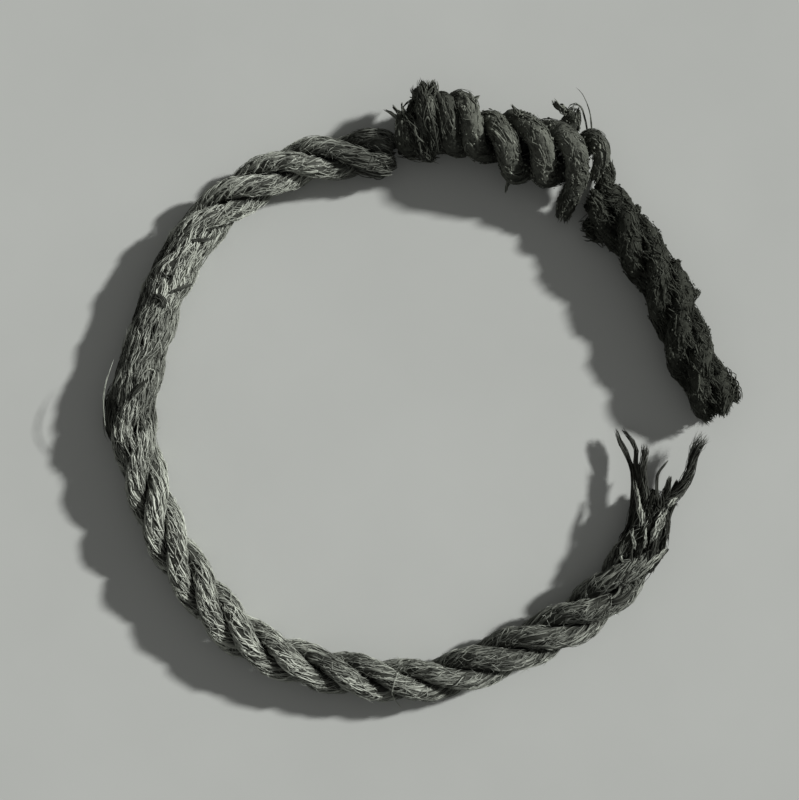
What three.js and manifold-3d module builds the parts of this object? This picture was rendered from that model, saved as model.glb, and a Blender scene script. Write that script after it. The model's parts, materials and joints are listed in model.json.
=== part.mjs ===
// Coiled frayed rope: an old three-strand rope in three broken lengths, laid end to end in one open
// ring on a flat surface. Millimetres, +Z up, origin under the middle of the ring at the surface.
//
//   pale_length      the long bleached length: three quarters of the ring, opened into tails at one end
//   loosened_length  a short dark length whose three strands have slackened into wide turns
//   dark_length      a short dark length, still tightly laid, blunt at both ends

import * as THREE from 'three';
import Module from 'manifold-3d';
import { mergeVertices } from 'three/addons/utils/BufferGeometryUtils.js';

const wasm = await Module();
wasm.setup();

// ---- Driving dimensions -------------------------------------------------------------------------

const LAY = 67.5; // length of rope in which a strand goes once round, in a sound stretch
const STRAND_REACH = 95; // degrees of each strand's round that show, to either side of its crown
const STEPS_PER_LAY = 12;
const STRAND_ARC_SEGMENTS = 3;
const LOOSE_STRAND_STEP = 4;
const LOOSE_STRAND_SEGMENTS = 5;
const TAIL_STEP = 5;
const TAIL_SEGMENTS = 4;

// Where a strand's crown lies at the first end, in degrees up from the left of the way the route runs.
const PALE_START = -8;
const DARK_START = -13;

// Routes: x, y, the height of the rope's axis, and the rope's diameter there.
const PALE_ROUTE = [
  [-12.8, 104.7, 9.0, 15.0],
  [-17.3, 104.6, 9.0, 19.0],
  [-30.4, 103.5, 9.0, 20.0],
  [-51.9, 100.0, 9.0, 20.0],
  [-73.4, 89.7, 9.2, 20.5],
  [-88.5, 78.1, 9.0, 20.0],
  [-102.2, 60.0, 9.2, 20.5],
  [-110.0, 45.0, 9.0, 20.0],
  [-115.5, 28.2, 9.0, 20.0],
  [-121.6, 6.7, 9.6, 21.5],
  [-123.7, -10.5, 9.6, 21.5],
  [-120.7, -27.7, 9.2, 20.5],
  [-115.5, -44.9, 9.2, 20.5],
  [-108.7, -62.1, 9.0, 20.0],
  [-99.2, -77.6, 9.2, 20.5],
  [-87.2, -93.1, 9.2, 20.5],
  [-73.4, -105.5, 9.2, 20.5],
  [-54.1, -114.6, 9.0, 20.0],
  [-32.6, -119.7, 8.8, 19.5],
  [-8.9, -122.7, 8.6, 19.0],
  [10.4, -121.0, 8.6, 19.0],
  [29.8, -113.7, 9.4, 21.0],
  [49.1, -105.5, 9.4, 21.0],
  [68.5, -94.8, 9.6, 21.5],
  [82.3, -82.7, 9.6, 21.5],
  [91.7, -69.8, 9.4, 20.5],
  [97.7, -55.6, 9.2, 18.5],
  [100.3, -45.1, 9.2, 14.5],
  [101.2, -41.6, 9.2, 9.0],
];

// The loosened length's three strands, each wound round the others: x, y, height and diameter.
const LOOSENED_STRANDS = [
  [
    [-6.8, 118.1, 15.0, 8.4],
    [-6.8, 112.5, 18.5, 9.4],
    [-5.0, 107.3, 12.0, 9.6],
    [6.1, 114.2, 4.8, 9.8],
    [17.1, 126.0, 13.0, 10.6],
    [20.8, 116.8, 22.5, 10.8],
    [25.1, 105.2, 13.0, 10.4],
    [41.0, 107.8, 4.9, 10.2],
    [55.2, 113.8, 13.0, 10.4],
    [65.1, 104.3, 22.0, 10.8],
    [66.3, 91.8, 16.0, 10.4],
    [62.5, 81.5, 9.0, 8.5],
    [61.6, 77.7, 6.0, 6.0],
  ],
  [
    [1.4, 130.5, 15.0, 5.0],
    [1.8, 127.5, 16.5, 8.5],
    [2.7, 118.5, 21.5, 9.8],
    [5.7, 108.6, 13.0, 10.0],
    [17.3, 111.6, 4.8, 10.0],
    [28.5, 117.6, 13.0, 10.2],
    [35.4, 108.2, 22.5, 10.6],
    [40.1, 96.1, 13.0, 10.6],
    [51.7, 103.0, 4.9, 10.2],
    [64.2, 116.8, 12.5, 8.5],
    [65.5, 120.7, 16.0, 5.5],
  ],
  [
    [-7.6, 109.9, 4.8, 8.6],
    [-1.2, 115.1, 4.7, 9.4],
    [8.3, 125.8, 13.5, 10.0],
    [11.3, 117.6, 22.0, 10.0],
    [14.7, 106.9, 13.0, 10.2],
    [28.9, 112.5, 4.9, 10.2],
    [42.3, 117.2, 13.0, 10.6],
    [50.9, 106.5, 22.5, 10.8],
    [53.4, 93.6, 13.0, 10.6],
    [64.2, 100.4, 4.9, 10.2],
    [73.2, 109.9, 12.0, 9.6],
    [76.7, 104.7, 16.5, 8.6],
    [76.5, 98.7, 15.0, 6.0],
    [74.1, 93.1, 12.0, 4.0],
  ],
];

const DARK_ROUTE = [
  [75.6, 85.0, 9.6, 17.0],
  [79.8, 81.2, 9.6, 22.0],
  [86.0, 74.3, 9.7, 22.5],
  [94.3, 62.6, 9.9, 23.0],
  [102.0, 51.9, 9.7, 22.5],
  [107.2, 41.1, 9.9, 23.0],
  [111.5, 30.4, 9.7, 22.5],
  [115.4, 19.6, 9.7, 22.5],
  [120.5, 8.9, 9.7, 22.5],
  [125.6, -1.5, 9.2, 21.5],
  [127.8, -6.3, 9.2, 16.0],
];

// A broken strand that reaches past the dark length's first end: x, y, height and diameter.
const DARK_STUB = [
  [78.8, 85.8, 8.5, 9.0],
  [79.7, 91.4, 8.0, 8.5],
  [80.5, 96.1, 7.5, 7.5],
  [80.1, 99.2, 7.5, 5.0],
];

// The pale length's three tails, from inside the rope to their tips: x, y, height and diameter.
const TAILS = [
  [
    [99.7, -51.1, 9.0, 9.0],
    [104.2, -45.6, 9.5, 7.5],
    [109.8, -41.5, 10.0, 6.0],
    [113.8, -35.4, 10.5, 5.0],
    [116.4, -28.6, 10.5, 4.5],
    [118.8, -22.1, 10.5, 5.0],
    [121.8, -17.4, 10.5, 5.0],
  ],
  [
    [95.7, -53.1, 9.0, 8.0],
    [93.6, -45.1, 8.5, 5.5],
    [92.8, -36.3, 8.0, 4.5],
    [90.7, -28.6, 7.0, 4.5],
    [87.4, -22.1, 6.0, 4.0],
    [85.3, -15.9, 5.0, 3.0],
  ],
  [
    [98.7, -47.1, 9.0, 7.0],
    [96.8, -37.6, 10.0, 5.0],
    [95.4, -31.6, 10.5, 4.0],
    [96.6, -23.3, 11.0, 3.5],
  ],
];

// ---- Shapes -------------------------------------------------------------------------------------

const UP = new THREE.Vector3(0, 0, 1);

// A rope's section of unit radius: an arc for each of its three touching strands, joined by a
// straight line across each groove.
function strandedSection(reach) {
  const strand = Math.sqrt(3) / (2 + Math.sqrt(3));
  const fromAxis = 1 - strand;
  const half = THREE.MathUtils.degToRad(reach);
  const section = new THREE.Shape();
  for (let k = 0; k < 3; k += 1) {
    const facing = (k * 2 * Math.PI) / 3;
    const x = fromAxis * Math.cos(facing);
    const y = fromAxis * Math.sin(facing);
    section.absarc(x, y, strand, facing - half, facing + half, false);
  }
  section.closePath();
  return section;
}

function roundSection() {
  const section = new THREE.Shape();
  section.absarc(0, 0, 1, 0, 2 * Math.PI, false);
  return section;
}

function routeOf(points) {
  const curve = new THREE.CatmullRomCurve3(points.map(([x, y, z]) => new THREE.Vector3(x, y, z)));
  curve.arcLengthDivisions = 100 * points.length;
  return curve;
}

function radiusAt(points, t) {
  const place = t * (points.length - 1);
  const before = Math.min(Math.floor(place), points.length - 2);
  const [, , , first] = points[before];
  const [, , , next] = points[before + 1];
  return THREE.MathUtils.lerp(first, next, place - before) / 2;
}

// Extrudes a section straight, then lays it along its route: turned with the strands, sized to the
// rope there, and pressed flat where its weight would carry it below the surface.
function lay(section, points, { stepLength, curveSegments, startAngle = 0, layLength = Infinity }) {
  const route = routeOf(points);
  const length = route.getLength();
  const geometry = new THREE.ExtrudeGeometry(section, {
    depth: length,
    steps: Math.round(length / stepLength),
    curveSegments,
    bevelEnabled: false,
  });
  const position = geometry.attributes.position;
  for (let i = 0; i < position.count; i += 1) {
    const along = THREE.MathUtils.clamp(position.getZ(i) / length, 0, 1);
    const tangent = route.getTangentAt(along);
    const side = new THREE.Vector3().crossVectors(UP, tangent).normalize();
    const top = new THREE.Vector3().crossVectors(tangent, side);
    const twist = (2 * Math.PI * along * length) / layLength;
    const around = new THREE.Vector2(position.getX(i), position.getY(i));
    around.rotateAround(new THREE.Vector2(), THREE.MathUtils.degToRad(startAngle) + twist);
    around.multiplyScalar(radiusAt(points, route.getUtoTmapping(along)));
    const point = route.getPointAt(along);
    point.addScaledVector(side, around.x).addScaledVector(top, around.y);
    position.setXYZ(i, point.x, point.y, Math.max(point.z, 0));
  }
  geometry.deleteAttribute('normal');
  geometry.deleteAttribute('uv');
  return mergeVertices(geometry, 1e-4);
}

// ---- Joining ------------------------------------------------------------------------------------

function toManifold(geometry) {
  const vertProperties = new Float32Array(geometry.attributes.position.array);
  const triVerts = new Uint32Array(geometry.index.array);
  return new wasm.Manifold(new wasm.Mesh({ numProp: 3, vertProperties, triVerts }));
}

function joined(geometries) {
  const [first, ...rest] = geometries.map(toManifold);
  const mesh = rest.reduce((whole, piece) => whole.add(piece), first).getMesh();
  const geometry = new THREE.BufferGeometry();
  geometry.setAttribute('position', new THREE.BufferAttribute(mesh.vertProperties, 3));
  geometry.setIndex(new THREE.BufferAttribute(mesh.triVerts, 1));
  return geometry;
}

function piece(name, geometry, color) {
  geometry.computeVertexNormals();
  const material = new THREE.MeshStandardMaterial({ color, roughness: 0.95, metalness: 0 });
  const mesh = new THREE.Mesh(geometry, material);
  mesh.name = name;
  return mesh;
}

// ---- The three lengths --------------------------------------------------------------------------

function tail(points) {
  return lay(roundSection(), points, { stepLength: TAIL_STEP, curveSegments: TAIL_SEGMENTS });
}

function looseStrand(points) {
  return lay(roundSection(), points, {
    stepLength: LOOSE_STRAND_STEP,
    curveSegments: LOOSE_STRAND_SEGMENTS,
  });
}

function soundRope(points, startAngle) {
  return lay(strandedSection(STRAND_REACH), points, {
    stepLength: LAY / STEPS_PER_LAY,
    curveSegments: STRAND_ARC_SEGMENTS,
    startAngle,
    layLength: LAY,
  });
}

function paleLength() {
  const geometries = [soundRope(PALE_ROUTE, PALE_START), ...TAILS.map(tail)];
  return piece('pale_length', joined(geometries), 0xa8a59c);
}

function loosenedLength() {
  return piece('loosened_length', joined(LOOSENED_STRANDS.map(looseStrand)), 0x47443f);
}

function darkLength() {
  const geometries = [soundRope(DARK_ROUTE, DARK_START), tail(DARK_STUB)];
  return piece('dark_length', joined(geometries), 0x3a3834);
}

const rope = new THREE.Group();
rope.add(paleLength(), loosenedLength(), darkLength());

export default rope;
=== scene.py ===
# Old three-strand rope in three broken lengths, laid end to end in an open ring. Metres, +Z up.
# Every strand is a heart, painted dark as the shade between its fibres, covered with tapered fibres that
# lie across it at their own twist, and the loose ends are yarns that spread into single fibres.

import json
import math

import bpy
import numpy as np
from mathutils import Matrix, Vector

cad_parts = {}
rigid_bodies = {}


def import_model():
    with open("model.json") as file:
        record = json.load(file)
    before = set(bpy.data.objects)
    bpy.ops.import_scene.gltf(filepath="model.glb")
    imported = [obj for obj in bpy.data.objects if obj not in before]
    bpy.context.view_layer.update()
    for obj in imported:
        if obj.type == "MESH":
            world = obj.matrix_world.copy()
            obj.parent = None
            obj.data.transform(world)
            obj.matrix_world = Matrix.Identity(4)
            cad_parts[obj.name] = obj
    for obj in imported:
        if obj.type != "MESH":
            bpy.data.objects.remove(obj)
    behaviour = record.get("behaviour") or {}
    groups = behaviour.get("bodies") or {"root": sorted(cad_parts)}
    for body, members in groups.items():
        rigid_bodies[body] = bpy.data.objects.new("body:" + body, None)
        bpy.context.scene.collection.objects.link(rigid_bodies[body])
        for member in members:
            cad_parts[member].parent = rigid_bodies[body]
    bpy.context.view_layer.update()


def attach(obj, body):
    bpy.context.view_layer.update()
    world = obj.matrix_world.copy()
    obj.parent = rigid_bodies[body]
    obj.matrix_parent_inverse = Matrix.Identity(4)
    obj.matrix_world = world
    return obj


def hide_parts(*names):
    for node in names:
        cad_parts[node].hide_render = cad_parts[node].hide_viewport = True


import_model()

# ---- Sizes --------------------------------------------------------------------------------------

MM = 0.001
UP = np.array((0.0, 0.0, 1.0))
STRAND_SHARE = math.sqrt(3) / (2 + math.sqrt(3))  # of a rope's radius, when its strands touch
LAY = 67.5 * MM  # length of rope in which a strand goes once round
PALE_START = -8  # where the first strand's crown lies, in degrees up from the rope's left
DARK_START = -13
OPENED = 30 * MM  # how far from its end the pale rope has opened into yarns
TIP = 12 * MM  # the last of it is yarns alone
UNDERSIDE = 0.3 * MM  # fibres press flat this far above the surface that the rope lies on
PRESSED = 0.25 * MM  # or up to this much higher, so that no two lie in one plane
CORED = 2.6  # mm: a tail thicker than this has a core
BUNDLED = 2.2  # mm: a yarn thicker than this is a bundle of many fibres
SIDES = 3  # of a fibre
FLAT = 0.7  # a loose fibre's thickness over its width
SLIM = 1.84  # a loose fibre's width over the distance from its middle to its corners
THIN = 2 * MM  # fibres wind round a thinner strand as if it were this thick
SEATED = 0.95  # of a strand's radius: how high its fibres lie
FULL = 2 * math.pi  # once round
PHASES = (0, 6.3)  # where a wave may start, in radians
SWELLS = (31, 17, 9)  # the lengths, in mm, of the waves that thicken a strand
HIDDEN = 0.85  # radians round a strand from its crown, where the painted shade between the strands begins

# Routes and yarns in mm: x, y, height of the axis, and diameter.
PALE_ROUTE = (
    (-12.8, 104.7, 9, 15), (-17.3, 104.6, 9, 19), (-30.4, 103.5, 9, 20), (-51.9, 100, 9, 20),
    (-73.4, 89.7, 9.2, 20.5), (-88.5, 78.1, 9, 20), (-102.2, 60, 9.2, 20.5), (-110, 45, 9, 20),
    (-115.5, 28.2, 9, 20), (-121.6, 6.7, 9.6, 21.5), (-123.7, -10.5, 9.6, 21.5), (-120.7, -27.7, 9.2, 20.5),
    (-115.5, -44.9, 9.2, 20.5), (-108.7, -62.1, 9, 20), (-99.2, -77.6, 9.2, 20.5), (-87.2, -93.1, 9.2, 20.5),
    (-73.4, -105.5, 9.2, 20.5), (-54.1, -114.6, 9, 20), (-32.6, -119.7, 8.8, 19.5), (-8.9, -122.7, 8.6, 19),
    (10.4, -121, 8.6, 19), (29.8, -113.7, 9.4, 21), (49.1, -105.5, 9.4, 21), (68.5, -94.8, 9.6, 21.5),
    (82.3, -82.7, 9.6, 21.5), (91.7, -69.8, 9.4, 20.5), (97.7, -55.6, 9.2, 18.5), (100.3, -45.1, 9.2, 14.5),
    (101.2, -41.6, 9.2, 9),
)

# The loosened length's three strands, each wound round the others.
LOOSENED_STRANDS = (
    (
        (-6.8, 118.1, 15, 8.4), (-6.8, 112.5, 18.5, 9.4), (-5, 107.3, 12, 9.6), (6.1, 114.2, 4.8, 9.8),
        (17.1, 126, 13, 10.6), (20.8, 116.8, 22.5, 10.8), (25.1, 105.2, 13, 10.4), (41, 107.8, 4.9, 10.2),
        (55.2, 113.8, 13, 10.4), (65.1, 104.3, 22, 10.8), (66.3, 91.8, 16, 10.4), (62.5, 81.5, 9, 8.5),
        (61.6, 77.7, 6, 6),
    ),
    (
        (1.4, 130.5, 15, 5), (1.8, 127.5, 16.5, 8.5), (2.7, 118.5, 21.5, 9.8), (5.7, 108.6, 13, 10),
        (17.3, 111.6, 4.8, 10), (28.5, 117.6, 13, 10.2), (35.4, 108.2, 22.5, 10.6), (40.1, 96.1, 13, 10.6),
        (51.7, 103, 4.9, 10.2), (64.2, 116.8, 12.5, 8.5), (65.5, 120.7, 16, 5.5),
    ),
    (
        (-7.6, 109.9, 4.8, 8.6), (-1.2, 115.1, 4.7, 9.4), (8.3, 125.8, 13.5, 10), (11.3, 117.6, 22, 10),
        (14.7, 106.9, 13, 10.2), (28.9, 112.5, 4.9, 10.2), (42.3, 117.2, 13, 10.6), (50.9, 106.5, 22.5, 10.8),
        (53.4, 93.6, 13, 10.6), (64.2, 100.4, 4.9, 10.2), (73.2, 109.9, 12, 9.6), (76.7, 104.7, 16.5, 8.6),
        (76.5, 98.7, 15, 6), (74.1, 93.1, 12, 4),
    ),
)

DARK_ROUTE = (
    (75.6, 85, 9.6, 17), (79.8, 81.2, 9.6, 22), (86, 74.3, 9.7, 22.5), (94.3, 62.6, 9.9, 23),
    (102, 51.9, 9.7, 22.5), (107.2, 41.1, 9.9, 23), (111.5, 30.4, 9.7, 22.5), (115.4, 19.6, 9.7, 22.5),
    (120.5, 8.9, 9.7, 22.5), (125.6, -1.5, 9.2, 21.5), (127.8, -6.3, 9.2, 16),
)

# A broken strand that reaches past the dark length's first end.
DARK_STUB = (
    (78.8, 85.8, 8.5, 9), (79.7, 91.4, 8, 8.5), (80.5, 96.1, 7.5, 7.5), (80.1, 99.2, 7.5, 5),
)

PALE_TAILS = {
    "right": (
        (94.3, -65.5, 10, 6), (99.5, -54.4, 10.5, 6.5), (104.6, -47, 10.5, 6), (109.3, -42.7, 10.5, 5.2),
        (113.2, -37.6, 10.5, 4.6), (115.8, -32, 10.5, 4.2), (117.5, -25, 10.5, 4.2),
        (119.6, -20.7, 10.5, 5.4), (121.8, -17.2, 10.5, 5.6),
    ),
    "left_outer": (
        (91.3, -65.5, 7, 4), (90, -56.9, 7.5, 3.2), (91.3, -47, 8, 2.4), (92.1, -38.4, 8, 2.2),
        (91.7, -32.9, 7.5, 2), (89.1, -25.5, 7, 1.9), (86.1, -20, 6.5, 1.8), (84.4, -15.2, 6, 1.5),
    ),
    "left_inner": (
        (94.3, -59.9, 9, 4), (93.4, -50.1, 9.5, 3), (94.7, -42.3, 9.5, 2.4), (94.3, -35.4, 9, 2.1),
        (92.6, -29, 8, 1.9), (93, -23.4, 7.5, 1.7), (90.9, -19.1, 7, 1.5), (87.4, -14.8, 6, 1.2),
    ),
    "stub": (
        (98.6, -59.9, 11, 5), (97.3, -48.3, 11, 4.5), (95.6, -39.7, 11, 3.6), (95.2, -32, 11, 2.8),
        (96, -26.8, 11, 3), (96.8, -21.4, 11, 3.6),
    ),
    "thin_up": (
        (100.7, -56.9, 12, 3), (101.2, -47, 12, 2), (101.2, -39.7, 12, 1.2), (101.6, -33.7, 12, 0.9),
        (103.3, -31.1, 12.5, 0.8), (105.9, -28.1, 13, 0.5),
    ),
    "short_mid": (
        (103.3, -53.5, 11, 5), (104.6, -44.9, 11, 4), (105.9, -39.7, 11, 3), (107.2, -34.6, 11, 1.2),
    ),
    "spike_right": (
        (106.3, -50.1, 9, 3), (108.5, -41.5, 9, 2), (110.6, -36.3, 9, 1),
    ),
    "hook": (
        (104.2, -66.4, 13, 2.5), (105.9, -56.9, 13, 1.4), (107.2, -50.5, 13, 1), (109.3, -46.2, 13, 1),
        (110.2, -47.5, 12.5, 0.8),
    ),
    "side_spike": (
        (97.7, -75.9, 15, 3), (101.6, -69.8, 14.5, 1.8), (105.9, -65.5, 14, 0.8),
    ),
}

# The yarns that the pale rope opens into, below its tails: soiled ones, and pale ones on top.
FRAY_BODY = (
    (
        (93, -73.3, 15, 5), (93.4, -64.7, 15, 4.6), (94.3, -55.2, 13.5, 4), (96, -47, 12, 3),
        (98.2, -40.6, 11, 1.6),
    ),
    (
        (88.7, -73.3, 11, 5), (90.4, -64.7, 12, 4.2), (91.7, -56.1, 12, 3.4), (93.4, -48.3, 11.5, 2.8),
        (95.6, -41.5, 11, 1.6),
    ),
    (
        (102.5, -70.7, 11, 4.6), (103.8, -63.4, 12, 4.2), (105, -56.1, 12, 3.6), (105.9, -49.2, 11.5, 2.8),
        (108.1, -45.3, 11, 1.4),
    ),
    (
        (96.4, -73.3, 5, 6), (97.7, -63.4, 5, 6), (98.6, -54.8, 5, 5.5), (99.5, -46.2, 5.5, 4.5),
        (100.7, -40.6, 6, 3),
    ),
    (
        (101.2, -70.7, 4.5, 6), (102.5, -61.2, 5, 5.5), (103.8, -52.6, 5.5, 5), (106.3, -45.3, 6, 4),
    ),
    (
        (91.7, -70.7, 4.5, 5.5), (93.4, -61.2, 5, 5), (95.2, -52.6, 5, 4.4), (96.4, -44, 5, 3.4),
    ),
    (
        (97.7, -70.7, 16.5, 3.6), (99, -63.4, 16.5, 3.2), (99.5, -56.1, 15, 2.6), (101.2, -48.3, 13.5, 2),
        (102.5, -42.3, 12.5, 1.2),
    ),
    (
        (84.8, -72, 10, 3.4), (85.7, -66.8, 11, 2.8), (86.6, -62.5, 11, 1.6),
    ),
)

FRAY_PATCH = (
    (
        (91.7, -36.3, 12, 1.2), (92.1, -41.5, 13, 2), (93.4, -47, 14.5, 2.4), (94.3, -52.6, 16, 2.2),
        (94.3, -58.2, 17, 1.4),
    ),
    (
        (90.9, -55.2, 14, 0.9), (90.4, -59.9, 16, 1.6), (91.3, -65.5, 18, 1.2),
    ),
    (
        (96, -55.6, 16, 1), (95.6, -59.9, 17.5, 1.6), (95.2, -65.1, 19, 1.2),
    ),
    (
        (86.6, -61.7, 13, 0.7), (85.7, -66.4, 14.5, 1.3), (86.1, -70.7, 16, 1.2), (89.6, -69.8, 18, 0.8),
    ),
    (
        (106.3, -47, 12.5, 2), (103.3, -50.1, 14, 4), (101.6, -54.4, 15.5, 4), (99.5, -59.1, 17, 2.6),
        (97.7, -63.4, 18.5, 1.4),
    ),
    (
        (110.2, -43.2, 12, 1.6), (107.6, -45.3, 13, 2.6), (105, -47.5, 13.5, 1.8),
    ),
    (
        (107.2, -49.6, 11, 0.6), (106.3, -55.6, 11.5, 0.8), (105, -62.5, 12, 0.7), (103.3, -67.3, 13, 0.6),
    ),
    (
        (105.9, -64.2, 14, 0.6), (102.5, -67.7, 16, 2), (97.7, -71.6, 18.5, 2.6), (92.6, -75.4, 19, 1.6),
    ),
)

# Soiled fibre torn up from the pale rope: at its widest place, and in its last grooves.
PALE_TUFTS = (
    (
        (-128.9, 7.6, 9, 4), (-131.5, 1.5, 10, 6.5), (-133, -5.3, 10.5, 7.5), (-133, -12.2, 10.5, 7.5),
        (-131.5, -18.2, 10, 6), (-128.9, -22.5, 9, 3),
    ),
    (
        (76.2, -88.3, 13.2, 2.4), (82.3, -87.9, 18.3, 3.2), (87.4, -85.7, 16.8, 3.4), (90.9, -82.7, 13.4, 2),
    ),
    (
        (-101.1, 64.8, 16.8, 1), (-96.3, 66, 17.8, 1.7), (-92.1, 66.4, 17, 1.5), (-88, 67.8, 13.5, 0.8),
    ),
    (
        (-107.4, 43.5, 17.4, 0.8), (-102.7, 45.6, 16.8, 1.5), (-97.7, 47.8, 12.5, 0.8),
    ),
    (
        (-114.7, 41.9, 15.2, 2), (-112, 42.2, 17.7, 3.2), (-109.5, 39.7, 18.5, 3), (-110.8, 36.8, 17.3, 1.6),
    ),
    (
        (-115.5, 7.9, 14.7, 1.4), (-118.8, 4.5, 17.9, 2.4), (-121.8, 1.1, 19.1, 2.4),
        (-123.6, -2.7, 18.6, 1.4),
    ),
)

PALE_END = (
    (
        (-32.2, 100.1, 8, 4), (-25.2, 97.4, 9, 6.5), (-18.4, 96.1, 9.5, 6.5), (-11.9, 96.9, 9.5, 4),
    ),
    (
        (-29.5, 111.2, 12, 4), (-22.6, 112, 12.5, 6), (-15.8, 111.1, 12.5, 6), (-11, 109.5, 12, 3.5),
    ),
    (
        (-23.5, 101.8, 12, 4), (-18.3, 101.5, 14, 5.5), (-11.5, 101.7, 13, 4),
    ),
)

PALE_THREADS = {
    "straw_left": (
        (-130.4, 16.9, 16, 0.4), (-132.7, 10.4, 17.5, 0.5), (-134.4, 3.6, 18, 0.6), (-135.2, -2.7, 18, 0.6),
        (-135.1, -8.7, 17, 0.5), (-134.8, -14.3, 15, 0.4),
    ),
    "loop_left": (
        (-121, 4.1, 19.2, 0.5), (-119.1, 7.9, 18.8, 0.7), (-116.1, 11.2, 18.1, 0.8),
        (-113.6, 10.4, 15.9, 0.7), (-114.7, 5.7, 17, 0.5),
    ),
    "bind_thread": (
        (-7.6, -116.3, 12.5, 0.5), (-10.6, -119.7, 18, 0.7), (-11.9, -124, 18.3, 0.7),
        (-12.3, -128.3, 11.8, 0.7), (-10.6, -132.2, 6.4, 0.6), (-8, -135.6, 5, 0.5),
    ),
}

LOOSENED_FRAYS = {
    "spike_a": (
        (-3.7, 115.1, 17, 3), (-8.9, 117.6, 18, 2), (-12.8, 120.2, 18, 1), (-15.8, 121.9, 17.5, 0.6),
    ),
    "spike_b": (
        (-5.5, 117.6, 18, 2.6), (-8.9, 119.8, 19, 1.6), (-12.3, 123.2, 19, 0.7),
    ),
    "spike_c": (
        (-5.9, 116.8, 20, 2.4), (-7.2, 120.2, 20, 1.5), (-8.5, 124.5, 20, 0.6),
    ),
    "brush_1": (
        (-0.3, 118.5, 14, 7), (-0.7, 125, 15, 6), (-2, 130.1, 15.5, 4.5), (-2.9, 132.3, 15.5, 3),
    ),
    "brush_2": (
        (3.1, 119.4, 17, 7), (2.3, 126.2, 18, 6), (1.4, 131.4, 18.5, 4.5), (0.1, 134.8, 18.5, 3),
    ),
    "brush_3": (
        (5.7, 120.7, 18, 6), (5.3, 127.1, 19, 5), (5.3, 131.4, 19, 4), (5.7, 134.4, 19, 2.4),
    ),
    "nib_1": (
        (18.5, 121, 17, 3), (21, 125, 17.5, 2.2), (25.1, 128, 17, 0.7),
    ),
    "nib_2": (
        (43.5, 115, 15, 3.2), (41.5, 119.5, 17, 2.4), (38.4, 124.1, 17, 0.8),
    ),
    "knot_nib": (
        (64.5, 118, 14.5, 3.8), (60.8, 121.9, 16, 3), (57.7, 124.5, 16.5, 2.8), (56.5, 126.2, 16.5, 1.6),
    ),
    "loop": (
        (62.5, 119, 14.5, 1.6), (63, 123, 16.5, 1.4), (65.5, 124.5, 17.5, 1.3), (68.1, 123.2, 17.5, 1.2),
        (69.6, 119.5, 16, 1.1), (71, 114.5, 13.5, 1), (72, 110.5, 12, 0.9),
    ),
    "long_hair": (
        (65.5, 132.3, 14, 0.4), (68.5, 129.7, 14, 0.4), (70.6, 125.4, 15, 0.5), (71.9, 121.5, 16, 0.5),
        (72.8, 116.5, 15.5, 0.5), (73.2, 110.5, 13, 0.5),
    ),
    "small_spike": (
        (39, 95, 10, 2.4), (37.6, 91.5, 8, 1.5), (36.7, 87.5, 6, 0.6),
    ),
}

# Matted fibre that fills the gaps between the loosened length's first turns.
LOOSENED_MATS = (
    (
        (-10.6, 120.2, 13, 4), (-6.8, 116.8, 17, 6), (-2.5, 111.6, 19, 6.5), (2.3, 105.6, 13, 5.5),
        (6.6, 103, 8, 4),
    ),
    (
        (-9.8, 105.6, 7, 5), (-4.6, 104.7, 10, 6.5), (1.4, 103.9, 9, 6), (8.3, 103.9, 9, 5),
    ),
    (
        (-2, 128, 12, 5), (-4.2, 121.9, 16, 6), (-5.9, 115.1, 17, 6), (-6.8, 108.2, 12, 5),
    ),
    (
        (8.3, 128.8, 13, 5), (7.4, 122.8, 18, 6), (8.7, 115.9, 18, 6), (11.3, 108.2, 12, 5),
    ),
    (
        (-0.3, 121.9, 20, 5), (4.9, 117.6, 22, 6), (10, 111.6, 18, 5.5), (14.7, 104.7, 11, 4.5),
    ),
    (
        (-7.2, 119.4, 18, 5), (-4.2, 113.8, 21, 6.5), (-0.3, 107.3, 19, 6.5), (4, 102.2, 12, 5),
    ),
    (
        (-1.6, 131.4, 20, 4.5), (1, 125, 23, 6), (3.1, 117.6, 23.5, 6.5), (4.9, 109.9, 21, 6),
        (7, 103.9, 14, 5),
    ),
    (
        (6.6, 128.8, 20, 4), (8.7, 121.9, 22.5, 5), (10.9, 114.2, 22, 5), (13.5, 105.6, 16, 4),
    ),
)

DARK_FRAYS = {
    "tuft_a": (
        (82.3, 78.9, 17, 3.2), (84, 81.5, 18, 2.2), (84.8, 83.7, 18, 1),
    ),
    "tuft_b": (
        (90, 76.8, 14, 5), (92.1, 79.4, 14, 4), (93.2, 82, 13.5, 1.6),
    ),
    "tuft_c": (
        (105.9, 52.7, 14, 5), (108.9, 55.7, 14, 4.4), (111.5, 58.3, 13.5, 1.8),
    ),
    "tuft_d": (
        (112.8, 41.1, 13, 6), (116.7, 43.3, 13, 5), (119.7, 45.4, 12.5, 2.4),
    ),
    "foot_a": (
        (122.2, -4, 10, 6), (122.7, -7.1, 9.5, 4.5), (122.7, -10.1, 9, 2.4),
    ),
    "foot_b": (
        (127, 1.5, 12, 8), (127, -3.6, 11, 7), (125.7, -7.5, 10, 4),
    ),
    "foot_c": (
        (127, 9.3, 11, 9), (131.3, 5, 11, 9), (134.7, 0.7, 10.5, 6), (137.3, -3.2, 10, 1.6),
    ),
    "foot_d": (
        (129.6, 2.4, 8, 8), (132.1, -1.5, 7.5, 6.5), (133.4, -4, 7, 2),
    ),
    "head_a": (
        (77.5, 82.8, 12, 6), (74.5, 86.3, 12, 4), (72.8, 88.8, 12, 2),
    ),
    "head_b": (
        (84, 73.8, 9, 9), (78.4, 74.2, 9, 9.5), (73.2, 73.8, 8.5, 8), (68.5, 72.9, 8, 3),
    ),
    "head_c": (
        (84.8, 66.9, 8, 8), (79.7, 68.6, 7, 8), (74.5, 69.5, 6, 6), (70.2, 69.9, 5, 2.5),
    ),
}

# ---- Lines --------------------------------------------------------------------------------------


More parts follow.
